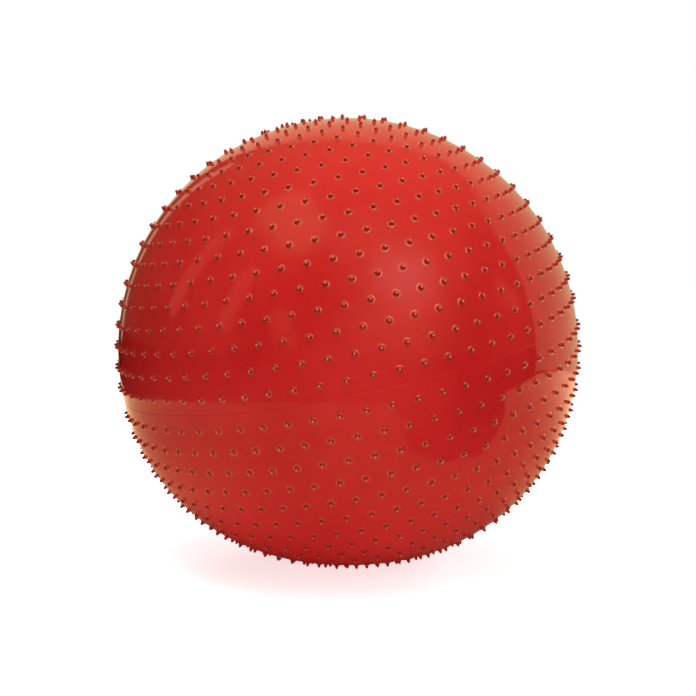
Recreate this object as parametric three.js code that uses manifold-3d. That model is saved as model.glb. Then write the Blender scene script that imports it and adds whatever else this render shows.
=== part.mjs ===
// Inflatable massage ball. One soft vinyl skin is moulded with rows of small pointed studs on both
// sides of its mould seam. Its lower half sags under its weight to a small flat patch at the bottom,
// where it stands on its own studs.
// A bonded sleeve in a stud-free pad at the back holds the push-in plug that keeps the air in.
// Millimetres and degrees, +Z up, origin on the floor under the middle of the ball.

import * as THREE from 'three';
import { ConvexHull } from 'three/addons/math/ConvexHull.js';
import { mergeVertices } from 'three/addons/utils/BufferGeometryUtils.js';
import Module from 'manifold-3d';

// Skin
const BALL_DIAMETER = 650;
const SKIN_WALL = 0.8; // at its thinnest, between the studs
const FOOT_RADIUS = 38; // flat patch at the bottom
const SAG_ANGLE = 70; // from straight down up to where the sag starts
const CAVITY_DETAIL = 4; // subdivisions of the rounded inside

// Studs, in rows round the moulding axis
const STUD_HEIGHT = 5.5;
const STUD_BASE_DIAMETER = 8;
const STUD_TIP_DIAMETER = 4; // flat that a stud under the ball stands on
const ROWS_PER_HALF = 17;
const STUDS_ON_LONGEST_ROW = 65;
const ROW_THINNING = 0.95; // 1 keeps one spacing in all rows, less crowds the rows near the poles
const SEAM_ROW_ANGLE = 3.5; // from the seam to the first row on either side
const SEAM_HEIGHT = 0.4;
const FIRST_STUD_ANGLE = 5.3; // round the axis, from the front towards the right

// How the ball lies: its moulding axis leans from upright, towards a heading counted from +X
const LEAN_ANGLE = 12.8;
const LEAN_HEADING = 208.4;

// Valve, at the back of the ball
const VALVE_HEADING = 90;
const VALVE_ELEVATION = 20;
const PLUG_HEAD_DIAMETER = 18;
const PLUG_HEAD_THICKNESS = 2.6;
const PLUG_HEAD_CHAMFER = 0.7;
const PLUG_STEM_DIAMETER = 9;
const PLUG_STEM_LENGTH = 25;
const PLUG_STEM_TAPER = 1.2; // off the radius, at the stem's end
const PLUG_RIBS = 3;
const PLUG_RIB_PITCH = 4;
const PLUG_RIB_GROOVE = 0.6; // depth between the ribs
const PLUG_CORE_DIAMETER = 4.5; // blind hole up the stem
const PLUG_CORE_LENGTH = 17;
const SEAT_DEPTH = 1.8; // recess in the sleeve for the plug's head
const NECK_WALL = 2.7; // sleeve, round the recess
const FLANGE_WIDTH = 6; // sleeve, bonded under the pad
const FLANGE_THICKNESS = 2.5;
const TUBE_WALL = 3.2; // sleeve, inside the ball
const TUBE_LENGTH = 24; // below the pad's outer face
const PAD_MARGIN = 4; // skin's thick pad, past the sleeve's flange
const PAD_PROUD = 0.8;
const PAD_THICKNESS = 5;
const PAD_CHAMFER = 0.8;
const BARE_MARGIN = 20; // free of studs, past the pad
const CLEARANCE = 0.3;
const VALVE_SIDES = 16;

const WELD_DISTANCE = 1e-4;
const CUT_OVERRUN = 2;

const wasm = await Module();
wasm.setup();

const radians = THREE.MathUtils.degToRad;
const upright = new THREE.Vector3(0, 0, 1);
const ballRadius = BALL_DIAMETER / 2;

// Unit direction with a heading counted from +X and an elevation above the level.
function headingDirection(heading, elevation) {
  const level = Math.cos(radians(elevation));
  return new THREE.Vector3(
    level * Math.cos(radians(heading)),
    level * Math.sin(radians(heading)),
    Math.sin(radians(elevation)),
  );
}

const mouldAxis = headingDirection(LEAN_HEADING, 90 - LEAN_ANGLE);
const valveAxis = headingDirection(VALVE_HEADING, VALVE_ELEVATION);

// Profile of the skin about the upright through the ball's centre: a sphere, a tighter arc where it
// sags, and a flat patch. The arc is centred over the patch's edge.
const sagAngle = radians(SAG_ANGLE);
const sagOffset = FOOT_RADIUS / Math.sin(sagAngle);
const sagRadius = ballRadius - sagOffset;
const sagCentre = new THREE.Vector2(FOOT_RADIUS, -sagOffset * Math.cos(sagAngle));
const patchDrop = sagRadius - sagCentre.y;
const centreHeight = patchDrop + STUD_HEIGHT;

// Skin point and outward normal, seen from the ball's centre along a unit direction.
function skinAt(direction) {
  const out = Math.hypot(direction.x, direction.y);
  const fall = Math.atan2(out, -direction.z);
  if (fall >= sagAngle) {
    const point = direction.clone().multiplyScalar(ballRadius);
    return { point, normal: direction.clone(), onPatch: false };
  }
  if (patchDrop * Math.tan(fall) <= FOOT_RADIUS) {
    const point = direction.clone().multiplyScalar(-patchDrop / direction.z);
    return { point, normal: upright.clone().negate(), onPatch: true };
  }
  const along = sagCentre.x * out + sagCentre.y * direction.z;
  const reach = along + Math.sqrt(along ** 2 - sagOffset ** 2 + sagRadius ** 2);
  const slope = (reach * out - sagCentre.x) / sagRadius / out;
  const rise = (reach * direction.z - sagCentre.y) / sagRadius;
  const normal = new THREE.Vector3(direction.x * slope, direction.y * slope, rise);
  return { point: direction.clone().multiplyScalar(reach), normal, onPatch: false };
}

// Unit direction at a latitude from the seam and a turn round the moulding axis, from the front.
const lean = new THREE.Quaternion().setFromUnitVectors(upright, mouldAxis);
function mouldDirection(latitude, turn) {
  const level = Math.cos(latitude);
  const direction = new THREE.Vector3(level * Math.sin(turn), -level * Math.cos(turn), Math.sin(latitude));
  return direction.applyQuaternion(lean);
}

// Unit directions in a ring of one angular radius round an axis.
function ringRound(axis, angle, count, start) {
  const spread = new THREE.Quaternion().setFromUnitVectors(upright, axis);
  return Array.from({ length: count }, (_, i) => {
    const ring = new THREE.Vector3().setFromSphericalCoords(1, angle, start + (i / count) * 2 * Math.PI);
    return new THREE.Vector3(ring.x, ring.z, ring.y).applyQuaternion(spread);
  });
}

// Radii and heights of the valve. Height 0 is where its axis leaves the sphere.
const boreRadius = PLUG_STEM_DIAMETER / 2 + CLEARANCE;
const seatRadius = PLUG_HEAD_DIAMETER / 2 + CLEARANCE;
const neckRadius = seatRadius + NECK_WALL;
const flangeRadius = neckRadius + FLANGE_WIDTH;
const tubeRadius = boreRadius + TUBE_WALL;
const padRadius = flangeRadius + CLEARANCE + PAD_MARGIN;
const padFace = PAD_PROUD;
const padBack = padFace - PAD_THICKNESS;
const seatFloor = padFace - SEAT_DEPTH;
const flangeTop = padBack - CLEARANCE;
const tubeEnd = padFace - TUBE_LENGTH;

// Stud directions: staggered rows on both sides of the seam, and one stud on each pole.
function studDirections() {
  const rowStep = (Math.PI / 2 - radians(SEAM_ROW_ANGLE)) / ROWS_PER_HALF;
  const directions = [];
  for (const side of [0, 1]) {
    const sign = side ? -1 : 1;
    for (let row = 0; row < ROWS_PER_HALF; row += 1) {
      const latitude = radians(SEAM_ROW_ANGLE) + row * rowStep;
      const count = Math.round(STUDS_ON_LONGEST_ROW * Math.cos(latitude) ** ROW_THINNING);
      const stagger = ((row + side) % 2) / 2;
      for (let stud = 0; stud < count; stud += 1) {
        const turn = radians(FIRST_STUD_ANGLE) + ((stud + stagger) / count) * 2 * Math.PI;
        directions.push(mouldDirection(sign * latitude, turn));
      }
    }
    directions.push(mouldDirection((sign * Math.PI) / 2, 0));
  }
  const bareAngle = (padRadius + BARE_MARGIN) / ballRadius;
  return directions.filter((direction) => direction.angleTo(valveAxis) > bareAngle);
}

function solidOf(geometry) {
  return new wasm.Manifold(new wasm.Mesh({
    numProp: 3,
    vertProperties: new Float32Array(geometry.attributes.position.array),
    triVerts: new Uint32Array(geometry.index.array),
  }));
}

function geometryOf(solid) {
  const mesh = solid.getMesh();
  const geometry = new THREE.BufferGeometry();
  geometry.setAttribute('position', new THREE.BufferAttribute(mesh.vertProperties, 3));
  geometry.setIndex(new THREE.BufferAttribute(mesh.triVerts, 1));
  return geometry;
}

// One vertex per corner, and no triangle that has closed up on the axis.
function welded(geometry) {
  geometry.deleteAttribute('normal');
  geometry.deleteAttribute('uv');
  const merged = mergeVertices(geometry, WELD_DISTANCE);
  const corners = merged.index.array;
  const kept = [];
  for (let i = 0; i < corners.length; i += 3) {
    const [a, b, c] = corners.slice(i, i + 3);
    if (a !== b && b !== c && c !== a) kept.push(a, b, c);
  }
  merged.setIndex(kept);
  return merged;
}

// Round solid about +Z from an outline of [radius, height] points.
function turned(outline) {
  const points = outline.map(([radius, height]) => new THREE.Vector2(radius, height));
  return welded(new THREE.LatheGeometry(points, VALVE_SIDES).rotateX(Math.PI / 2));
}

// A stud comes to a point, and one on the foot patch to a small flat on the floor.
function raiseStud(stud, base, positions, triangles) {
  const tip = stud.point.clone().addScaledVector(stud.normal, STUD_HEIGHT);
  if (!stud.onPatch) {
    const apex = positions.push(tip) - 1;
    base.forEach((corner, i) => triangles.push(corner, base[(i + 1) % 3], apex));
    return;
  }
  const top = base.map((corner) => {
    const spoke = positions[corner].clone().sub(stud.point).setZ(0).setLength(STUD_TIP_DIAMETER / 2);
    return positions.push(tip.clone().add(spoke)) - 1;
  });
  base.forEach((corner, i) => {
    const next = (i + 1) % 3;
    triangles.push(corner, base[next], top[next], corner, top[next], top[i]);
  });
  triangles.push(...top);
}

// Studded outside of the skin. Each stud has a three-cornered base. The hull of all corners on a
// unit sphere tells which ones are neighbours, and each base then rises to its stud's tip.
function studdedBody() {
  const corners = [];
  const studs = studDirections().map((direction, index) => {
    const foot = skinAt(direction);
    ringRound(direction, STUD_BASE_DIAMETER / 2 / foot.point.length(), 3, index)
      .forEach((corner) => corners.push({ direction: corner, stud: index, raise: 0 }));
    return foot;
  });
  for (let i = 0; i < STUDS_ON_LONGEST_ROW; i += 1) {
    const direction = mouldDirection(0, (i / STUDS_ON_LONGEST_ROW) * 2 * Math.PI);
    corners.push({ direction, stud: -1, raise: SEAM_HEIGHT });
  }
  ringRound(valveAxis, (padRadius + CUT_OVERRUN) / ballRadius, VALVE_SIDES, 0)
    .forEach((direction) => corners.push({ direction, stud: -1, raise: 0 }));

  const indexOf = new Map(corners.map((corner, index) => [corner.direction, index]));
  const positions = corners.map(({ direction, raise }) => {
    const { point, normal } = skinAt(direction);
    return point.addScaledVector(normal, raise);
  });
  const triangles = [];
  for (const { edge } of new ConvexHull().setFromPoints([...indexOf.keys()]).faces) {
    const face = [edge.prev, edge, edge.next].map((side) => indexOf.get(side.head().point));
    const owner = corners[face[0]].stud;
    if (owner >= 0 && face.every((corner) => corners[corner].stud === owner)) {
      raiseStud(studs[owner], face, positions, triangles);
    } else {
      triangles.push(...face);
    }
  }
  const geometry = new THREE.BufferGeometry();
  geometry.setAttribute('position', new THREE.Float32BufferAttribute(positions.flatMap((p) => p.toArray()), 3));
  geometry.setIndex(triangles);
  return geometry;
}

// Inside of the skin: the same profile, one wall in from the flats between the studs.
function cavityBody() {
  const flatDip = ballRadius * (1 - Math.cos(Math.PI / STUDS_ON_LONGEST_ROW));
  const geometry = welded(new THREE.IcosahedronGeometry(1, CAVITY_DETAIL));
  const position = geometry.attributes.position;
  for (let i = 0; i < position.count; i += 1) {
    const { point, normal } = skinAt(new THREE.Vector3().fromBufferAttribute(position, i).normalize());
    position.setXYZ(i, ...point.addScaledVector(normal, -SKIN_WALL - flatDip));
  }
  return geometry;
}

const padOutline = [
  [0, padBack],
  [padRadius, padBack],
  [padRadius, padFace - PAD_CHAMFER],
  [padRadius - PAD_CHAMFER, padFace],
  [0, padFace],
];

// The sleeve's hole through the pad, and room for its flange and tube behind the pad.
const sleeveHoleOutline = [
  [0, tubeEnd - CUT_OVERRUN],
  [flangeRadius + CLEARANCE, tubeEnd - CUT_OVERRUN],
  [flangeRadius + CLEARANCE, padBack],
  [neckRadius + CLEARANCE, padBack],
  [neckRadius + CLEARANCE, padFace + CUT_OVERRUN],
  [0, padFace + CUT_OVERRUN],
];

const sleeveOutline = [
  [boreRadius, tubeEnd],
  [tubeRadius, tubeEnd],
  [tubeRadius, flangeTop - FLANGE_THICKNESS],
  [flangeRadius, flangeTop - FLANGE_THICKNESS],
  [flangeRadius, flangeTop],
  [neckRadius, flangeTop],
  [neckRadius, padFace],
  [seatRadius, padFace],
  [seatRadius, seatFloor],
  [boreRadius, seatFloor],
  [boreRadius, tubeEnd],
];

// The stem has ribs under its head, a tapered end and a blind hole up its middle.
function plugOutline() {
  const headRadius = PLUG_HEAD_DIAMETER / 2;
  const stemRadius = PLUG_STEM_DIAMETER / 2;
  const headBack = seatFloor + CLEARANCE;
  const headTop = headBack + PLUG_HEAD_THICKNESS;
  const stemEnd = headBack - PLUG_STEM_LENGTH;
  const ribs = [];
  for (let rib = PLUG_RIBS; rib > 0; rib -= 1) {
    const height = headBack - rib * PLUG_RIB_PITCH;
    ribs.push([stemRadius, height], [stemRadius - PLUG_RIB_GROOVE, height + PLUG_RIB_PITCH / 2]);
  }
  return [
    [0, stemEnd + PLUG_CORE_LENGTH],
    [PLUG_CORE_DIAMETER / 2, stemEnd + PLUG_CORE_LENGTH],
    [PLUG_CORE_DIAMETER / 2, stemEnd],
    [stemRadius - PLUG_STEM_TAPER, stemEnd],
    ...ribs,
    [stemRadius, headBack],
    [headRadius, headBack],
    [headRadius, headTop - PLUG_HEAD_CHAMFER],
    [headRadius - PLUG_HEAD_CHAMFER, headTop],
    [0, headTop],
  ];
}

const vinyl = new THREE.MeshStandardMaterial({ color: 0xc3221f, roughness: 0.25, metalness: 0 });
const softVinyl = new THREE.MeshStandardMaterial({ color: 0xa81c1c, roughness: 0.45, metalness: 0 });
const plugPlastic = new THREE.MeshStandardMaterial({ color: 0xf2f0ea, roughness: 0.4, metalness: 0 });

function named(name, geometry, material) {
  const mesh = new THREE.Mesh(geometry, material);
  mesh.name = name;
  return mesh;
}

const valve = new THREE.Group();
valve.position.copy(valveAxis).multiplyScalar(ballRadius);
valve.quaternion.setFromUnitVectors(upright, valveAxis);
valve.updateMatrix();
valve.add(named('valve_sleeve', turned(sleeveOutline), softVinyl));
valve.add(named('valve_plug', turned(plugOutline()), plugPlastic));

const pad = solidOf(turned(padOutline).applyMatrix4(valve.matrix));
const sleeveHole = solidOf(turned(sleeveHoleOutline).applyMatrix4(valve.matrix));
const skin = solidOf(studdedBody()).subtract(solidOf(cavityBody())).add(pad).subtract(sleeveHole);

const ball = new THREE.Group();
ball.position.z = centreHeight;
ball.add(named('ball_skin', geometryOf(skin), vinyl));
ball.add(valve);

export default ball;
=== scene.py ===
import math

import bpy
import numpy as np
from mathutils import Matrix, Vector
from mathutils.geometry import delaunay_2d_cdt


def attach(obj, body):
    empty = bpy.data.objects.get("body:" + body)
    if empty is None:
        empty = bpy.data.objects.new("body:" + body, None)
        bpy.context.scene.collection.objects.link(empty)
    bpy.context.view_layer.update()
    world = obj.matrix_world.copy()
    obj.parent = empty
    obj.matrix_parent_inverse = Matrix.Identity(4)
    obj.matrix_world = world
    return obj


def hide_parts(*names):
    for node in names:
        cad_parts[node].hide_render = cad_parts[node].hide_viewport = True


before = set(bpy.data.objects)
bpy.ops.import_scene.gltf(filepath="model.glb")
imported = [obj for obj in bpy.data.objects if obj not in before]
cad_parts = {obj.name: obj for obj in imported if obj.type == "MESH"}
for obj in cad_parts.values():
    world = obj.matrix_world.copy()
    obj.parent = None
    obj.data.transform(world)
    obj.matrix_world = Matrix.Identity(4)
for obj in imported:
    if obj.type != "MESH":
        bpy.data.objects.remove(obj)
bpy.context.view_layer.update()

# Skin: a soft vinyl bag, rotation-moulded in a two-part mould and pumped up with air. Its lower
# half sags under its weight to a small flat patch. The studs, the raised mould seam and the thick
# round pad for the valve are moulded in one with it.
BALL_RADIUS = 0.325
SKIN_WALL = 0.001
FOOT_RADIUS = 0.038
SAG_ANGLE = math.radians(70)
STUD_HEIGHT = 0.0055

sag_offset = FOOT_RADIUS / math.sin(SAG_ANGLE)
sag_radius = BALL_RADIUS - sag_offset
sag_drop = sag_offset * math.cos(SAG_ANGLE)
patch_drop = sag_drop + sag_radius
ball_centre = Vector((0, 0, patch_drop + STUD_HEIGHT))


def skin_at(directions):
    """Points and outward normals of the skin, along unit directions from the ball's centre."""
    d = np.asarray(directions, float)
    out = np.hypot(d[:, 0], d[:, 1])
    fall = np.arctan2(out, -d[:, 2])
    sagged = fall < SAG_ANGLE
    on_patch = sagged & (patch_drop * np.tan(np.minimum(fall, SAG_ANGLE)) <= FOOT_RADIUS)
    reach = np.full(len(d), BALL_RADIUS)
    normals = d.copy()
    along = FOOT_RADIUS * out - sag_drop * d[:, 2]
    reach[sagged] = (along + np.sqrt(along**2 - sag_offset**2 + sag_radius**2))[sagged]
    slope = (reach * out - FOOT_RADIUS) / sag_radius / np.maximum(out, 1e-9)
    rise = (reach * d[:, 2] + sag_drop) / sag_radius
    normals[sagged] = np.column_stack([d[:, 0] * slope, d[:, 1] * slope, rise])[sagged]
    reach[on_patch] = -patch_drop / d[on_patch, 2]
    normals[on_patch] = (0, 0, -1)
    return d * reach[:, None] + np.array(ball_centre), normals


# The ball lies with its moulding axis leaning forward and to the left. Rows of studs run round that
# axis on both sides of the seam, staggered from row to row, with one stud on each pole.
ROWS_PER_HALF = 17
STUDS_ON_LONGEST_ROW = 65
ROW_THINNING = 0.95
SEAM_ROW_ANGLE = math.radians(3.5)
FIRST_STUD_ANGLE = math.radians(5.3)
LEAN_ANGLE = math.radians(12.8)
LEAN_HEADING = math.radians(208.4)
VALVE_ELEVATION = math.radians(20)
BARE_RADIUS = 0.0423

mould_axis = Vector((math.sin(LEAN_ANGLE) * math.cos(LEAN_HEADING),
                     math.sin(LEAN_ANGLE) * math.sin(LEAN_HEADING),
                     math.cos(LEAN_ANGLE)))
lean = np.array(Vector((0, 0, 1)).rotation_difference(mould_axis).to_matrix())
valve_axis = Vector((0, math.cos(VALVE_ELEVATION), math.sin(VALVE_ELEVATION)))

row_step = (math.pi / 2 - SEAM_ROW_ANGLE) / ROWS_PER_HALF
stud_ways = []
for side, sign in enumerate((1, -1)):
    for row in range(ROWS_PER_HALF):
        latitude = SEAM_ROW_ANGLE + row * row_step
        count = round(STUDS_ON_LONGEST_ROW * math.cos(latitude) ** ROW_THINNING)
        stagger = (row + side) % 2 / 2
        turn = FIRST_STUD_ANGLE + (np.arange(count) + stagger) / count * 2 * math.pi
        stud_ways.append(np.column_stack([math.cos(latitude) * np.sin(turn),
                                          -math.cos(latitude) * np.cos(turn),
                                          np.full(count, sign * math.sin(latitude))]))
    stud_ways.append(np.array([[0, 0, sign]], float))
stud_ways = np.vstack(stud_ways) @ lean.T
stud_ways = stud_ways[np.arccos(stud_ways @ np.array(valve_axis)) > BARE_RADIUS / BALL_RADIUS]

# A stud is a small blunt peg with a rounded top, and a wide soft fillet where it grows out of the
# skin, which mirrors the lights as a crescent. Each ring of its profile has a radius, a height, and
# the tilt of its normal, from sideways at 0 to straight out at 90 degrees.
STUD_SIDES = 10
stud_profile = [
    (0.0062, 0.0, math.radians(90)),
    (0.0048, 0.00012, math.radians(82)),
    (0.0036, 0.0005, math.radians(62)),
    (0.0026, 0.0014, math.radians(35)),
    (0.0019, 0.0036, math.radians(16)),
    (0.0012, 0.0051, math.radians(50)),
]
STUD_FOOT_RADIUS = stud_profile[0][0]

stud_feet, stud_normals = skin_at(stud_ways)
stud_count = len(stud_feet)
aside = np.cross(stud_normals, np.where(np.abs(stud_normals[:, 2:]) < 0.9, (0, 0, 1), (1, 0, 0)))
aside /= np.linalg.norm(aside, axis=1)[:, None]
across = np.cross(stud_normals, aside)
spokes_turn = np.arange(STUD_SIDES) / STUD_SIDES * 2 * math.pi
spokes = (aside[:, None, :] * np.cos(spokes_turn)[None, :, None]
          + across[:, None, :] * np.sin(spokes_turn)[None, :, None])


def way_of(points):
    """Unit directions from the ball's centre to points."""
    ways = points - np.array(ball_centre)
    return ways / np.linalg.norm(ways, axis=-1, keepdims=True)


skin_points = []
skin_normals = []
skin_faces = []


def add_points(points, normals):
    """Adds points to the skin and returns their numbers, in the same array shape."""
    start = sum(len(p) for p in skin_points)
    skin_points.append(np.reshape(points, (-1, 3)))
    skin_normals.append(np.reshape(normals, (-1, 3)))
    return start + np.arange(skin_points[-1].shape[0]).reshape(np.shape(points)[:-1])


def add_band(lower, upper):
    """Joins two closed rings of point numbers, counted anticlockwise from outside, with quads."""
    quads = np.stack([lower, np.roll(lower, -1, -1), np.roll(upper, -1, -1), upper], -1)
    skin_faces.extend(quads.reshape(-1, 4).tolist())


rim_ways = way_of(stud_feet[:, None, :] + spokes * STUD_FOOT_RADIUS)
rim_points, rim_normals = skin_at(rim_ways.reshape(-1, 3))
stud_rims = add_points(rim_points.reshape(spokes.shape), rim_normals.reshape(spokes.shape))
ring_below = stud_rims
for radius, height, tilt in stud_profile[1:]:
    ring = add_points(
        stud_feet[:, None, :] + spokes * radius + stud_normals[:, None, :] * height,
        spokes * math.cos(tilt) + stud_normals[:, None, :] * math.sin(tilt))
    add_band(ring_below, ring)
    ring_below = ring
tips = add_points(stud_feet + stud_normals * STUD_HEIGHT, stud_normals)
fans = np.stack([ring_below, np.roll(ring_below, -1, 1),
                 np.repeat(tips[:, None], STUD_SIDES, 1)], -1)
skin_faces.extend(fans.reshape(-1, 3).tolist())

# The seam is a fine raised line where the two halves of the mould met. Each ring of its profile has
# a share of the half width, a share of the height, and the tilt of its normal along the axis.
SEAM_POINTS = 288
SEAM_HALF_WIDTH = 0.0009
SEAM_HEIGHT = 0.0002
seam_profile = [(-1, 0, 0), (-0.55, 0.7, -0.3), (0, 1, 0), (0.55, 0.7, 0.3), (1, 0, 0)]

seam_turn = np.arange(SEAM_POINTS) / SEAM_POINTS * 2 * math.pi
seam_rings = []
for offset, lift, tilt in seam_profile:
    latitude = offset * SEAM_HALF_WIDTH / BALL_RADIUS
    ways = np.column_stack([math.cos(latitude) * np.sin(seam_turn),
                            -math.cos(latitude) * np.cos(seam_turn),
                            np.full(SEAM_POINTS, math.sin(latitude))]) @ lean.T
    points, normals = skin_at(ways)
    seam_rings.append(add_points(points + normals * lift * SEAM_HEIGHT,
                                 normals + lean[:, 2] * tilt))
for lower, upper in zip(seam_rings, seam_rings[1:]):
    add_band(lower, upper)

# The pad round the valve is a flat disc a little proud of the skin, with a hole for the sleeve.
PAD_SIDES = 64
PAD_RADIUS = 0.0223
PAD_PROUD = 0.0008
PAD_BACK = -0.0042
PAD_FILLET = 0.0014
SLEEVE_HOLE_RADIUS = 0.0123

valve_point = ball_centre + valve_axis * BALL_RADIUS
to_valve = Matrix.Translation(valve_point) @ Vector(
    (0, 0, 1)).rotation_difference(valve_axis).to_matrix().to_4x4()
valve_turn = np.array(to_valve.to_3x3())
pad_turn = np.arange(PAD_SIDES) / PAD_SIDES * 2 * math.pi
pad_spokes = np.column_stack([np.cos(pad_turn), np.sin(pad_turn), np.zeros(PAD_SIDES)])


def pad_ring(radius, height, tilt):
    """A ring of the pad. The tilt of its normal is 0 outwards and a quarter turn along the axis."""
    points = pad_spokes * radius + (0, 0, height)
    normals = pad_spokes * math.cos(tilt) + (0, 0, math.sin(tilt))
    return add_points(points @ valve_turn.T + np.array(valve_point), normals @ valve_turn.T)


foot_of_pad = PAD_RADIUS + PAD_FILLET
pad_foot_height = math.sqrt(BALL_RADIUS**2 - foot_of_pad**2) - BALL_RADIUS
pad_rings = [
    pad_ring(foot_of_pad, pad_foot_height, math.pi / 2 - foot_of_pad / BALL_RADIUS),
    pad_ring(PAD_RADIUS + 0.0005, pad_foot_height + 0.0003, math.radians(50)),
    pad_ring(PAD_RADIUS, pad_foot_height + 0.0010, math.radians(8)),
    pad_ring(PAD_RADIUS - 0.0003, PAD_PROUD - 0.0003, math.radians(40)),
    pad_ring(PAD_RADIUS - 0.0010, PAD_PROUD, math.pi / 2),
    pad_ring(SLEEVE_HOLE_RADIUS + 0.0006, PAD_PROUD, math.pi / 2),
    pad_ring(SLEEVE_HOLE_RADIUS + 0.0001, PAD_PROUD - 0.0002, math.radians(135)),
    pad_ring(SLEEVE_HOLE_RADIUS, PAD_PROUD - 0.0006, math.pi),
    pad_ring(SLEEVE_HOLE_RADIUS, PAD_BACK + 0.0004, math.pi),
    pad_ring(SLEEVE_HOLE_RADIUS + 0.0004, PAD_BACK, -math.pi / 2),
    pad_ring(PAD_RADIUS - 0.0004, PAD_BACK, -math.pi / 2),
    pad_ring(PAD_RADIUS, PAD_BACK + 0.0004, 0),
]

# Inside of the skin, one wall in, from the pad round to the far side of the ball.
INSIDE_RINGS = 28
INSIDE_START = 0.0008
inner_start = (PAD_RADIUS + INSIDE_START) / BALL_RADIUS
for angle in np.linspace(inner_start, math.pi, INSIDE_RINGS + 1)[:-1]:
    ways = (pad_spokes * math.sin(angle) + (0, 0, math.cos(angle))) @ valve_turn.T
    points, normals = skin_at(ways)
    pad_rings.append(add_points(points - normals * SKIN_WALL, -normals))
for lower, upper in zip(pad_rings, pad_rings[1:]):
    add_band(lower, upper)
points, normals = skin_at([-np.array(valve_axis)])
far_end = add_points(points - normals * SKIN_WALL, -normals)[0]
skin_faces.extend([[a, b, far_end] for a, b in zip(pad_rings[-1], np.roll(pad_rings[-1], -1))])

# Skin between the studs: each half, laid out flat from its pole, is divided into triangles between
# the rims of the studs, the edge of the seam and the foot of the pad.
owner_of = np.full(sum(len(p) for p in skin_points), -1)
owner_of[stud_rims] = np.arange(stud_count)[:, None]
owner_of[pad_rings[0]] = stud_count
edges = np.concatenate([stud_rims.ravel(), pad_rings[0]])
edge_ways = way_of(np.vstack(skin_points)) @ lean
for sign, seam_edge in ((1, seam_rings[-1]), (-1, seam_rings[0])):
    chosen = np.concatenate([edges[edge_ways[edges, 2] * sign > 0], seam_edge])
    ways = edge_ways[chosen]
    flat = ways[:, :2] / (1 + sign * ways[:, 2:])
    made = delaunay_2d_cdt([Vector(p) for p in flat.tolist()], [], [], 0, 1e-9)
    number = [chosen[ids[0]] for ids in made[3]]
    for face in made[2]:
        face = [number[corner] for corner in face]
        owners = owner_of[face]
        if owners[0] >= 0 and (owners == owners[0]).all():
            continue
        skin_faces.append(face if sign > 0 else face[::-1])


def shaped_mesh(name, points, normals, faces):
    """A mesh object with smooth faces and the given normals at its points."""
    mesh = bpy.data.meshes.new(name)
    mesh.from_pydata(np.asarray(points).tolist(), [], [list(map(int, face)) for face in faces])
    mesh.shade_smooth()
    normals = np.asarray(normals)
    normals = normals / np.linalg.norm(normals, axis=1)[:, None]
    mesh.normals_split_custom_set_from_vertices(normals.tolist())
    shaped = bpy.data.objects.new(name, mesh)
    bpy.context.scene.collection.objects.link(shaped)
    return shaped


studded_skin = shaped_mesh("studded_skin", np.vstack(skin_points), np.vstack(skin_normals),
                           skin_faces)
# How much painted shade, how much polish and how much painted highlight each ring of a stud has,
# and last of all its tip.
stud_marks = {
    "stud_painted_shade": (0, 0, 0.3, 0.9, 1, 0.2, 0.1),
    "stud_polish": (0, 1, 1, 0.2, 0.1, 0.4, 1),
    "stud_painted_highlight": (0, 0, 0, 0, 0, 0.3, 0.55),
}
for mark, (*on_rings, on_tip) in stud_marks.items():
    amount = np.zeros(len(owner_of))
    for ring, on_ring in enumerate(on_rings):
        amount[ring * stud_rims.size:(ring + 1) * stud_rims.size] = on_ring
    amount[tips] = on_tip
    studded_skin.data.attributes.new(mark, "FLOAT", "POINT").data.foreach_set("value", amount)

# Moulded plastic is never quite even: its colour drifts, its gloss is rubbed in places and its
# face has a faint orange peel.
moulded = bpy.data.node_groups.new("moulded_face", "ShaderNodeTree")
for socket, kind in (("Drift Scale", "NodeSocketFloat"), ("Rub Scale", "NodeSocketFloat"),
                     ("Peel Scale", "NodeSocketFloat")):
    moulded.interface.new_socket(socket, in_out="INPUT", socket_type=kind)
for socket in ("Drift", "Rub", "Peel"):
    moulded.interface.new_socket(socket, in_out="OUTPUT", socket_type="NodeSocketFloat")
group_in = moulded.nodes.new("NodeGroupInput")
group_out = moulded.nodes.new("NodeGroupOutput")
place = moulded.nodes.new("ShaderNodeTexCoord")
for socket, detail, low, high in (("Drift", 3, 0.35, 0.65), ("Rub", 6, 0.45, 0.75),
                                  ("Peel", 2, 0.0, 1.0)):
    noise = moulded.nodes.new("ShaderNodeTexNoise")
    noise.inputs["Detail"].default_value = detail
    spread = moulded.nodes.new("ShaderNodeMapRange")
    spread.inputs["From Min"].default_value = low
    spread.inputs["From Max"].default_value = high
    moulded.links.new(place.outputs["Object"], noise.inputs["Vector"])
    moulded.links.new(group_in.outputs[socket + " Scale"], noise.inputs["Scale"])
    moulded.links.new(noise.outputs["Fac"], spread.inputs["Value"])
    moulded.links.new(spread.outputs["Result"], group_out.inputs[socket])


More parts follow.
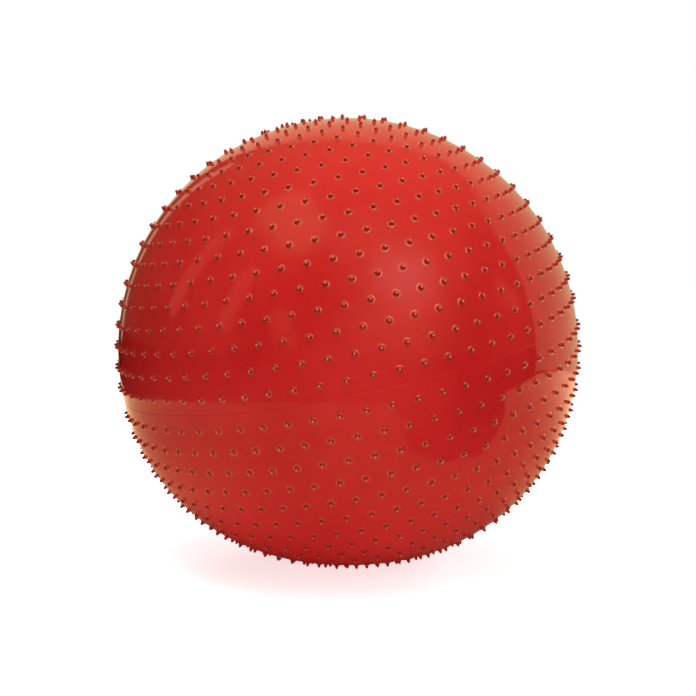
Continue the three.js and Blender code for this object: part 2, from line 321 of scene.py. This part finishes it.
def moulded_finish(name, scales, colours, roughness, peel):
    """A moulded plastic with colour drift, rubbed gloss and orange peel from the group."""
    finish = bpy.data.materials.new(name)
    finish.use_nodes = True
    nodes, links = finish.node_tree.nodes, finish.node_tree.links
    shader = nodes["Principled BSDF"]
    face = nodes.new("ShaderNodeGroup")
    face.node_tree = moulded
    for socket, value in zip(("Drift Scale", "Rub Scale", "Peel Scale"), scales):
        face.inputs[socket].default_value = value
    colour = nodes.new("ShaderNodeMix")
    colour.data_type = "RGBA"
    colour.inputs["A"].default_value = (*colours[0], 1)
    colour.inputs["B"].default_value = (*colours[1], 1)
    rough = nodes.new("ShaderNodeMapRange")
    rough.inputs["To Min"].default_value = roughness[0]
    rough.inputs["To Max"].default_value = roughness[1]
    bump = nodes.new("ShaderNodeBump")
    bump.inputs["Strength"].default_value = peel[0]
    bump.inputs["Distance"].default_value = peel[1]
    links.new(face.outputs["Drift"], colour.inputs["Factor"])
    links.new(colour.outputs["Result"], shader.inputs["Base Color"])
    links.new(face.outputs["Rub"], rough.inputs["Value"])
    links.new(rough.outputs["Result"], shader.inputs["Roughness"])
    links.new(face.outputs["Peel"], bump.inputs["Height"])
    links.new(bump.outputs["Normal"], shader.inputs["Normal"])
    return finish


red_vinyl = moulded_finish("red_vinyl", scales=(6, 30, 600),
                           colours=((0.565, 0.0145, 0.0135), (0.645, 0.0225, 0.0195)),
                           roughness=(0.06, 0.12), peel=(0.1, 0.0002))

# The studs' flanks are painted deeper in colour than the skin, partly as the solid vinyl's own
# colour, partly as painted shade on the dark side of each stud. Their feet and tips have a harder
# gloss. The tips are also painted paler, as a painted highlight in place of highlights too small to
# show.
nodes, links = red_vinyl.node_tree.nodes, red_vinyl.node_tree.links
shader = nodes["Principled BSDF"]
shader.inputs["IOR"].default_value = 1.4
shader.inputs["Coat IOR"].default_value = 2.1
shader.inputs["Coat Roughness"].default_value = 0.05
shade_on_stud = nodes.new("ShaderNodeAttribute")
shade_on_stud.attribute_name = "stud_painted_shade"
# Painted shade: the flanks of each stud are mixed towards a darker red.
paint_shade = nodes.new("ShaderNodeMix")
paint_shade.data_type = "RGBA"
paint_shade.inputs["B"].default_value = (0.30, 0.008, 0.009, 1)
links.new(shade_on_stud.outputs["Fac"], paint_shade.inputs["Factor"])
links.new(shader.inputs["Base Color"].links[0].from_socket, paint_shade.inputs["A"])
# Painted highlight: the cap and tip of each stud are mixed towards a pale pink.
paler = nodes.new("ShaderNodeAttribute")
paler.attribute_name = "stud_painted_highlight"
pale = nodes.new("ShaderNodeMix")
pale.data_type = "RGBA"
pale.inputs["B"].default_value = (1.0, 0.32, 0.30, 1)
links.new(paler.outputs["Fac"], pale.inputs["Factor"])
links.new(paint_shade.outputs["Result"], pale.inputs["A"])
links.new(pale.outputs["Result"], shader.inputs["Base Color"])
polished = nodes.new("ShaderNodeAttribute")
polished.attribute_name = "stud_polish"
links.new(polished.outputs["Fac"], shader.inputs["Coat Weight"])
studded_skin.data.materials.append(red_vinyl)
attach(studded_skin, "ball")
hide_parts("ball_skin")

# Sleeve: a soft vinyl insert, moulded by itself and bonded into the pad by its flange. Its recess
# takes the plug's head and its bore the stem.
SLEEVE_SIDES = 64
BORE_RADIUS = 0.0048
SEAT_RADIUS = 0.0093
NECK_RADIUS = 0.0120
FLANGE_RADIUS = 0.0180
TUBE_RADIUS = 0.0080
SEAT_FLOOR = -0.0010
FLANGE_TOP = -0.0045
FLANGE_BACK = -0.0070
TUBE_END = -0.0232
ROUNDING_STEPS = 4


def rounded_outline(corners):
    """Points (radius, height, normal tilt) along corners (radius, height, rounding).

    The material is on the left of the way along them.
    """
    outline = []
    corners = [np.array(c, float) for c in corners]
    for before, here, after in zip([corners[-1]] + corners, corners, corners[1:] + corners[:1]):
        to_here = here[:2] - before[:2]
        onward = after[:2] - here[:2]
        turn_in = math.atan2(-to_here[0], to_here[1])
        turn_out = math.atan2(-onward[0], onward[1])
        bend = (turn_out - turn_in + math.pi) % (2 * math.pi) - math.pi
        cut = abs(here[2] * math.tan(bend / 2))
        start = here[:2] - to_here / np.linalg.norm(to_here) * cut
        swing = math.copysign(here[2], bend)
        for step in range(ROUNDING_STEPS + 1):
            turn = turn_in + bend * step / ROUNDING_STEPS
            point = start + swing * np.array([math.cos(turn) - math.cos(turn_in),
                                              math.sin(turn) - math.sin(turn_in)])
            outline.append((*point, turn))
    return outline


def turned_piece(name, outline, sides, closed):
    """A round piece about the valve's axis, from an outline of radius, height and normal tilt."""
    turn = np.arange(sides) / sides * 2 * math.pi
    around = np.column_stack([np.cos(turn), np.sin(turn), np.zeros(sides)])
    points, normals, faces = [], [], []
    for radius, height, tilt in outline:
        points.append(around * radius + (0, 0, height))
        normals.append(around * math.cos(tilt) + (0, 0, math.sin(tilt)))
    rings = np.arange(len(outline) * sides).reshape(-1, sides)
    if closed:
        rings = np.vstack([rings, rings[:1]])
    for lower, upper in zip(rings, rings[1:]):
        faces.extend(np.stack([lower, np.roll(lower, -1), np.roll(upper, -1), upper], -1).tolist())
    if not closed:
        faces.append(rings[0][::-1].tolist())
        faces.append(rings[-1].tolist())
    points = np.vstack(points) @ valve_turn.T + np.array(valve_point)
    return shaped_mesh(name, points, np.vstack(normals) @ valve_turn.T, faces)


sleeve_outline = rounded_outline([
    (BORE_RADIUS, TUBE_END, 0.0003),
    (TUBE_RADIUS, TUBE_END, 0.0008),
    (TUBE_RADIUS, FLANGE_BACK, 0.0015),
    (FLANGE_RADIUS, FLANGE_BACK, 0.0008),
    (FLANGE_RADIUS, FLANGE_TOP, 0.0003),
    (NECK_RADIUS, FLANGE_TOP, 0.0003),
    (NECK_RADIUS, PAD_PROUD, 0.0006),
    (SEAT_RADIUS, PAD_PROUD, 0.0006),
    (SEAT_RADIUS, SEAT_FLOOR, 0.0002),
    (BORE_RADIUS, SEAT_FLOOR, 0.0004),
])
valve_insert = turned_piece("valve_insert", sleeve_outline, SLEEVE_SIDES, closed=True)
sleeve_vinyl = moulded_finish("sleeve_vinyl", scales=(120, 300, 3000),
                              colours=((0.40, 0.012, 0.014), (0.48, 0.018, 0.018)),
                              roughness=(0.38, 0.5), peel=(0.15, 0.0001))
valve_insert.data.materials.append(sleeve_vinyl)
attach(valve_insert, "ball")
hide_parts("valve_sleeve")

# Plug: a white polyethylene stopper, injection-moulded, pushed into the sleeve. Ribs under its
# head seal the bore, and the hollow stem gives a little when it is pressed home.
PLUG_SIDES = 64
HEAD_RADIUS = 0.0090
STEM_RADIUS = 0.0045
STEM_END_RADIUS = 0.0033
CORE_RADIUS = 0.00225
HEAD_BACK = -0.0007
HEAD_TOP = 0.0019
STEM_END = -0.0257
CORE_END = -0.0087
RIBS = 3
RIB_PITCH = 0.0040
RIB_GROOVE = 0.0006
DISH_RADIUS = HEAD_RADIUS * 0.72
DISH_FLOOR_RADIUS = HEAD_RADIUS * 0.66
DISH_FLOOR = HEAD_TOP - 0.0004
CAP_RADIUS = 0.0004

plug_corners = [
    (CAP_RADIUS, CORE_END, 0.0001),
    (CORE_RADIUS, CORE_END, 0.0004),
    (CORE_RADIUS, STEM_END, 0.0002),
    (STEM_END_RADIUS, STEM_END, 0.0003),
]
for rib in range(RIBS, 0, -1):
    rib_height = HEAD_BACK - rib * RIB_PITCH
    plug_corners.append((STEM_RADIUS, rib_height, 0.0003))
    plug_corners.append((STEM_RADIUS - RIB_GROOVE, rib_height + RIB_PITCH / 2, 0.0003))
plug_corners += [
    (STEM_RADIUS, HEAD_BACK, 0.0002),
    (HEAD_RADIUS, HEAD_BACK, 0.0003),
    (HEAD_RADIUS, HEAD_TOP, 0.0009),
    (DISH_RADIUS, HEAD_TOP, 0.0006),
    (DISH_FLOOR_RADIUS, DISH_FLOOR, 0.0006),
    (CAP_RADIUS, DISH_FLOOR, 0.0001),
]
plug_outline = rounded_outline(plug_corners)[ROUNDING_STEPS:-ROUNDING_STEPS]
air_plug = turned_piece("air_plug", plug_outline, PLUG_SIDES, closed=False)
plug_plastic = moulded_finish("plug_plastic", scales=(150, 400, 2500),
                              colours=((0.84, 0.82, 0.77), (0.90, 0.88, 0.84)),
                              roughness=(0.32, 0.45), peel=(0.1, 0.0001))
air_plug.data.materials.append(plug_plastic)
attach(air_plug, "plug")
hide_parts("valve_plug")

# Camera: in front of the ball and a little above its middle, looking at its centre.
CAMERA_DISTANCE = 1.625
CAMERA_ELEVATION = math.radians(4)

camera = bpy.data.objects.new("camera", bpy.data.cameras.new("camera"))
camera.data.sensor_width = 36
camera.data.lens = 58.3
back = Vector((0, -math.cos(CAMERA_ELEVATION), math.sin(CAMERA_ELEVATION)))
camera.location = ball_centre + back * CAMERA_DISTANCE
camera.rotation_euler = (-back).to_track_quat("-Z", "Y").to_euler()
camera.data.clip_end = 100
bpy.context.scene.collection.objects.link(camera)
bpy.context.scene.camera = camera

# Floor: pale and even, with the ball's soft shadow on it, and it throws a little light back up on
# the left. It stays dark in the gloss, where only the sheet of paper on it shows.
FLOOR_REACH = 30

floor_mesh = bpy.data.meshes.new("pale_floor")
floor_mesh.from_pydata([(x * FLOOR_REACH, y * FLOOR_REACH, 0)
                        for x, y in ((-1, -1), (1, -1), (1, 1), (-1, 1))], [], [(0, 1, 2, 3)])
pale_floor = bpy.data.objects.new("pale_floor", floor_mesh)
bpy.context.scene.collection.objects.link(pale_floor)
floor_paint = bpy.data.materials.new("floor_paint")
floor_paint.use_nodes = True
nodes, links = floor_paint.node_tree.nodes, floor_paint.node_tree.links
nodes.clear()
ray = nodes.new("ShaderNodeLightPath")
paint = nodes.new("ShaderNodeMix")
paint.data_type = "RGBA"
paint.inputs["A"].default_value = (0.85, 0.85, 0.85, 1)
paint.inputs["B"].default_value = (0.02, 0.02, 0.02, 1)
links.new(ray.outputs["Is Glossy Ray"], paint.inputs["Factor"])
matt = nodes.new("ShaderNodeBsdfDiffuse")
links.new(paint.outputs["Result"], matt.inputs["Color"])
place = nodes.new("ShaderNodeTexCoord")
away = nodes.new("ShaderNodeVectorMath")
away.operation = "LENGTH"
links.new(place.outputs["Object"], away.inputs["Vector"])
brighten = nodes.new("ShaderNodeMapRange")
brighten.inputs["From Min"].default_value = 0.25
brighten.inputs["From Max"].default_value = 0.9
brighten.inputs["To Min"].default_value = 0.7
brighten.inputs["To Max"].default_value = 1.0
links.new(away.outputs["Value"], brighten.inputs["Value"])
lift = nodes.new("ShaderNodeMath")
lift.operation = "MULTIPLY"
links.new(ray.outputs["Is Camera Ray"], lift.inputs[0])
links.new(brighten.outputs["Result"], lift.inputs[1])
off_bounce = nodes.new("ShaderNodeVectorMath")
off_bounce.operation = "DISTANCE"
off_bounce.inputs[1].default_value = (-0.2, 0.05, 0)
links.new(place.outputs["Object"], off_bounce.inputs[0])
bounce = nodes.new("ShaderNodeMapRange")
bounce.inputs["From Min"].default_value = 0.2
bounce.inputs["From Max"].default_value = 0.6
bounce.inputs["To Min"].default_value = 0.42
bounce.inputs["To Max"].default_value = 0.0
links.new(off_bounce.outputs["Value"], bounce.inputs["Value"])
level = nodes.new("ShaderNodeMath")
level.operation = "MULTIPLY_ADD"
links.new(ray.outputs["Is Diffuse Ray"], level.inputs[0])
links.new(bounce.outputs["Result"], level.inputs[1])
links.new(lift.outputs["Value"], level.inputs[2])
glow = nodes.new("ShaderNodeEmission")
glow.inputs["Color"].default_value = (1, 1, 1, 1)
links.new(level.outputs["Value"], glow.inputs["Strength"])
both = nodes.new("ShaderNodeAddShader")
links.new(matt.outputs["BSDF"], both.inputs[0])
links.new(glow.outputs["Emission"], both.inputs[1])
surface = nodes.new("ShaderNodeOutputMaterial")
links.new(both.outputs["Shader"], surface.inputs["Surface"])
floor_mesh.materials.append(floor_paint)

# Paper: a sheet of warm paper under the ball, with a round front edge, where it darkens, and a bay
# cut out of it on the right. Close round the ball it is painted darker, a painted shadow of the
# ball, and farther out it glows, more with distance. It is there for the gloss of the ball alone.
PAPER_RADIUS = 1.0
PAPER_HEIGHT = 0.0002
paper_edge = [(-1.1, 2.4), (-1.1, 0.0)]
for turn in np.radians(range(205, 290, 10)):
    paper_edge.append((PAPER_RADIUS * math.cos(turn), PAPER_RADIUS * math.sin(turn)))
paper_edge += [(0.28, -0.88), (0.25, -0.65), (0.20, -0.46), (0.28, -0.36), (0.40, -0.28),
               (0.70, -0.28), (1.20, -0.40), (1.50, -0.20), (2.10, 0.25), (2.10, 2.4)]
paper_mesh = bpy.data.meshes.new("warm_paper")
paper_mesh.from_pydata([(x, y, PAPER_HEIGHT) for x, y in paper_edge], [],
                       [list(range(len(paper_edge)))])
warm_paper = bpy.data.materials.new("warm_paper")
warm_paper.use_nodes = True
nodes, links = warm_paper.node_tree.nodes, warm_paper.node_tree.links
nodes.clear()
matt = nodes.new("ShaderNodeBsdfDiffuse")
place = nodes.new("ShaderNodeTexCoord")
away = nodes.new("ShaderNodeVectorMath")
away.operation = "LENGTH"
links.new(place.outputs["Object"], away.inputs["Vector"])
# Painted shadow: the paper is darker within about 0.3 m of the ball.
shaded = nodes.new("ShaderNodeMapRange")
shaded.inputs["From Min"].default_value = 0.23
shaded.inputs["From Max"].default_value = 0.33
links.new(away.outputs["Value"], shaded.inputs["Value"])
paper_painted_shadow = nodes.new("ShaderNodeMix")
paper_painted_shadow.data_type = "RGBA"
paper_painted_shadow.inputs["A"].default_value = (0.44, 0.26, 0.17, 1)
paper_painted_shadow.inputs["B"].default_value = (0.74, 0.40, 0.20, 1)
links.new(shaded.outputs["Result"], paper_painted_shadow.inputs["Factor"])
axes = nodes.new("ShaderNodeSeparateXYZ")
links.new(place.outputs["Object"], axes.inputs["Vector"])
forward = nodes.new("ShaderNodeMapRange")
forward.interpolation_type = "SMOOTHSTEP"
forward.inputs["From Min"].default_value = -1.0
forward.inputs["From Max"].default_value = -0.4
links.new(axes.outputs["Y"], forward.inputs["Value"])
fade = nodes.new("ShaderNodeMix")
fade.data_type = "RGBA"
fade.inputs["A"].default_value = (0.1, 0.06, 0.03, 1)
links.new(forward.outputs["Result"], fade.inputs["Factor"])
links.new(paper_painted_shadow.outputs["Result"], fade.inputs["B"])
links.new(fade.outputs["Result"], matt.inputs["Color"])
brighten = nodes.new("ShaderNodeMapRange")
brighten.inputs["From Min"].default_value = 0.6
brighten.inputs["From Max"].default_value = 1.5
brighten.inputs["To Max"].default_value = 0.8
links.new(away.outputs["Value"], brighten.inputs["Value"])
glow = nodes.new("ShaderNodeEmission")
glow.inputs["Color"].default_value = (1.0, 0.75, 0.42, 1)
links.new(brighten.outputs["Result"], glow.inputs["Strength"])
both = nodes.new("ShaderNodeAddShader")
links.new(matt.outputs["BSDF"], both.inputs[0])
links.new(glow.outputs["Emission"], both.inputs[1])
surface = nodes.new("ShaderNodeOutputMaterial")
links.new(both.outputs["Shader"], surface.inputs["Surface"])
paper_mesh.materials.append(warm_paper)


def for_gloss(name, mesh):
    """Puts up a part of the studio that shows in the gloss alone and throws no shadow."""
    part = bpy.data.objects.new(name, mesh)
    bpy.context.scene.collection.objects.link(part)
    part.visible_camera = False
    part.visible_diffuse = False
    part.visible_shadow = False


for_gloss("warm_paper", paper_mesh)


# Backdrop: a tall lit sheet hung round the back and the right of the ball, highest behind it and
# falling off at its right end. It fades towards its top.
def lit_sheet(name, points, faces, share, colour, strength):
    """Puts up a glowing sheet that is solid by a share at each point, and clear for the rest."""
    mesh = bpy.data.meshes.new(name)
    mesh.from_pydata([tuple(point) for point in points], [], faces)
    mesh.attributes.new("share", "FLOAT", "POINT").data.foreach_set("value", share)
    lit = bpy.data.materials.new(name)
    lit.use_nodes = True
    nodes, links = lit.node_tree.nodes, lit.node_tree.links
    nodes.clear()
    amount = nodes.new("ShaderNodeAttribute")
    amount.attribute_name = "share"
    glow = nodes.new("ShaderNodeEmission")
    glow.inputs["Color"].default_value = (*colour, 1)
    glow.inputs["Strength"].default_value = strength
    clear = nodes.new("ShaderNodeBsdfTransparent")
    fade = nodes.new("ShaderNodeMixShader")
    surface = nodes.new("ShaderNodeOutputMaterial")
    links.new(amount.outputs["Fac"], fade.inputs["Fac"])
    links.new(clear.outputs["BSDF"], fade.inputs[1])
    links.new(glow.outputs["Emission"], fade.inputs[2])
    links.new(fade.outputs["Shader"], surface.inputs["Surface"])
    mesh.materials.append(lit)
    for_gloss(name, mesh)


STUDIO_REACH = 2.4
BACKDROP_COLUMNS = 80
backdrop_rows = [(0.0, 1.0), (0.8, 1.0), (1.0, 0.4)]
backdrop_turn = np.radians([-26, -20, -8, 5, 20, 30, 40, 50, 72, 82, 85])
backdrop_top = [2.9, 3.7, 4.4, 4.9, 4.6, 3.8, 3.1, 2.9, 2.8, 2.2, 1.0]
backdrop_share = [1, 1, 1, 0.95, 0.82, 0.88, 1, 1, 1, 1, 1]
fine_turn = np.linspace(backdrop_turn[0], backdrop_turn[-1], BACKDROP_COLUMNS)
fine_top = np.interp(fine_turn, backdrop_turn, backdrop_top)
fine_share = np.interp(fine_turn, backdrop_turn, backdrop_share)
points, share = [], []
for height, lit_share in backdrop_rows:
    points.extend(zip(STUDIO_REACH * np.sin(fine_turn), STUDIO_REACH * np.cos(fine_turn),
                      fine_top * height))
    share.extend(fine_share * lit_share)
rows = np.arange(len(points)).reshape(len(backdrop_rows), -1)
faces = [face for low, high in zip(rows, rows[1:])
         for face in np.stack([low[:-1], low[1:], high[1:], high[:-1]], -1).tolist()]
lit_sheet("backdrop", points, faces, share, colour=(1.0, 0.77, 0.43), strength=0.82)


# Soft boxes: a round one over the left shoulder, a wide wash on the right with a small flash before
# it, three upright strips on the left, and a small box on each side. The ball mirrors these, and
# the lamps do the lighting.
BOX_CORNERS = 40
box_widths = [1, 0.85, 0.7, 0.55, 0.4, 0.25, 0.1]


def studio_point(turn, rise, reach=STUDIO_REACH):
    """A point of the studio, by its turn from the back of the ball and its rise, in degrees."""
    turn, rise = math.radians(turn), math.radians(rise)
    return ball_centre + reach * Vector((math.cos(rise) * math.sin(turn),
                                         math.cos(rise) * math.cos(turn), math.sin(rise)))


def soft_box(name, start, end, half_width, softness, colour, strength):
    """A round-ended soft box from start to end, fading to its edge over a share of its width."""
    start, end = studio_point(*start), studio_point(*end)
    facing = (ball_centre - (start + end) / 2).normalized()
    along = (end - start).normalized() if start != end else facing.orthogonal()
    beside = facing.cross(along)
    points, share = [], []
    for width in box_widths:
        for turn in np.linspace(0, 2 * math.pi, BOX_CORNERS, endpoint=False):
            middle = end if math.cos(turn) > 0 else start
            outward = along * math.cos(turn) + beside * math.sin(turn)
            points.append(middle + outward * half_width * width)
        inward = min(1, (1 - width) / softness)
        share.extend([inward * inward * (3 - 2 * inward)] * BOX_CORNERS)
    rings = np.arange(len(points)).reshape(-1, BOX_CORNERS)
    faces = []
    for outer, inner in zip(rings, rings[1:]):
        faces.extend(np.stack([outer, np.roll(outer, -1), np.roll(inner, -1), inner], -1).tolist())
    faces.append(rings[-1].tolist())
    lit_sheet(name, points, faces, share, colour, strength)


soft_box("round_box", (-147, 54), (-127, 61), half_width=0.66, softness=0.6,
         colour=(1.0, 0.68, 0.34), strength=1.5)
soft_box("wide_wash", (150, 42), (156, 20), half_width=1.8, softness=1.0,
         colour=(1.0, 0.57, 0.27), strength=1.3)
soft_box("back_strip", (-38, 0), (-37, 40), half_width=0.12, softness=0.5,
         colour=(1.0, 0.75, 0.5), strength=0.8)
soft_box("left_strip", (-101, 43), (-91, 14), half_width=0.2, softness=0.4,
         colour=(1.0, 0.3, 0.18), strength=1.4)
soft_box("front_strip", (-129, 32), (-123, 12), half_width=0.2, softness=0.4,
         colour=(1.0, 0.3, 0.18), strength=1.4)
soft_box("small_box", (-150, 15), (-153, 8), half_width=0.3, softness=0.6,
         colour=(1.0, 0.3, 0.18), strength=1.3)
soft_box("near_flash", (151, 34, 2.1), (151, 34, 2.1), half_width=0.55, softness=1.0,
         colour=(1.0, 0.75, 0.62), strength=2.2)
soft_box("right_box", (101, 22), (96, 16), half_width=0.2, softness=0.5,
         colour=(1.0, 0.4, 0.2), strength=0.8)


# Lamps: a large soft one overhead, three in front at different heights, the lower two weaker, and
# one each on the right and behind, so that no side of the ball is left in the dark.
def soft_lamp(name, place, size, watts):
    """A square soft lamp that points at the ball and leaves no mirror image."""
    lamp = bpy.data.lights.new(name, "AREA")
    lamp.size = size
    lamp.energy = watts
    shade = bpy.data.objects.new(name, lamp)
    shade.location = place
    shade.rotation_euler = (ball_centre - Vector(place)).to_track_quat("-Z", "Y").to_euler()
    shade.visible_glossy = False
    bpy.context.scene.collection.objects.link(shade)


soft_lamp("top_lamp", (-0.3, -0.4, 2.6), 2.2, 36)
soft_lamp("high_lamp", studio_point(175, 55), 1.2, 14)
soft_lamp("right_lamp", studio_point(158, 28), 1.2, 11)
soft_lamp("front_lamp", studio_point(180, 5), 1.2, 7.5)
soft_lamp("side_lamp", studio_point(60, 15), 1.2, 24)
soft_lamp("back_lamp", studio_point(-18, 25), 1.2, 20)

# Room: even soft light on the object. It is white to the eye, and in the gloss it is dark with a
# paler ceiling.
room = bpy.data.worlds.new("room")
bpy.context.scene.world = room
room.use_nodes = True
nodes, links = room.node_tree.nodes, room.node_tree.links
nodes.clear()
ray = nodes.new("ShaderNodeLightPath")
even = nodes.new("ShaderNodeBackground")
even.inputs["Color"].default_value = (1, 1, 1, 1)
even.inputs["Strength"].default_value = 0.05
place = nodes.new("ShaderNodeTexCoord")
axes = nodes.new("ShaderNodeSeparateXYZ")
links.new(place.outputs["Generated"], axes.inputs["Vector"])
ceiling = nodes.new("ShaderNodeMapRange")
ceiling.inputs["From Min"].default_value = 0.5
ceiling.inputs["From Max"].default_value = 0.85
ceiling.inputs["To Min"].default_value = 0.1
ceiling.inputs["To Max"].default_value = 0.47
links.new(axes.outputs["Z"], ceiling.inputs["Value"])
dark = nodes.new("ShaderNodeBackground")
dark.inputs["Color"].default_value = (1.0, 0.65, 0.27, 1)
links.new(ceiling.outputs["Result"], dark.inputs["Strength"])
white = nodes.new("ShaderNodeBackground")
white.inputs["Color"].default_value = (1, 1, 1, 1)
white.inputs["Strength"].default_value = 1
by_gloss = nodes.new("ShaderNodeMixShader")
links.new(ray.outputs["Is Glossy Ray"], by_gloss.inputs["Fac"])
links.new(even.outputs["Background"], by_gloss.inputs[1])
links.new(dark.outputs["Background"], by_gloss.inputs[2])
by_eye = nodes.new("ShaderNodeMixShader")
links.new(ray.outputs["Is Camera Ray"], by_eye.inputs["Fac"])
links.new(by_gloss.outputs["Shader"], by_eye.inputs[1])
links.new(white.outputs["Background"], by_eye.inputs[2])
surface = nodes.new("ShaderNodeOutputWorld")
links.new(by_eye.outputs["Shader"], surface.inputs["Surface"])

bpy.context.scene.view_settings.view_transform = "Standard"
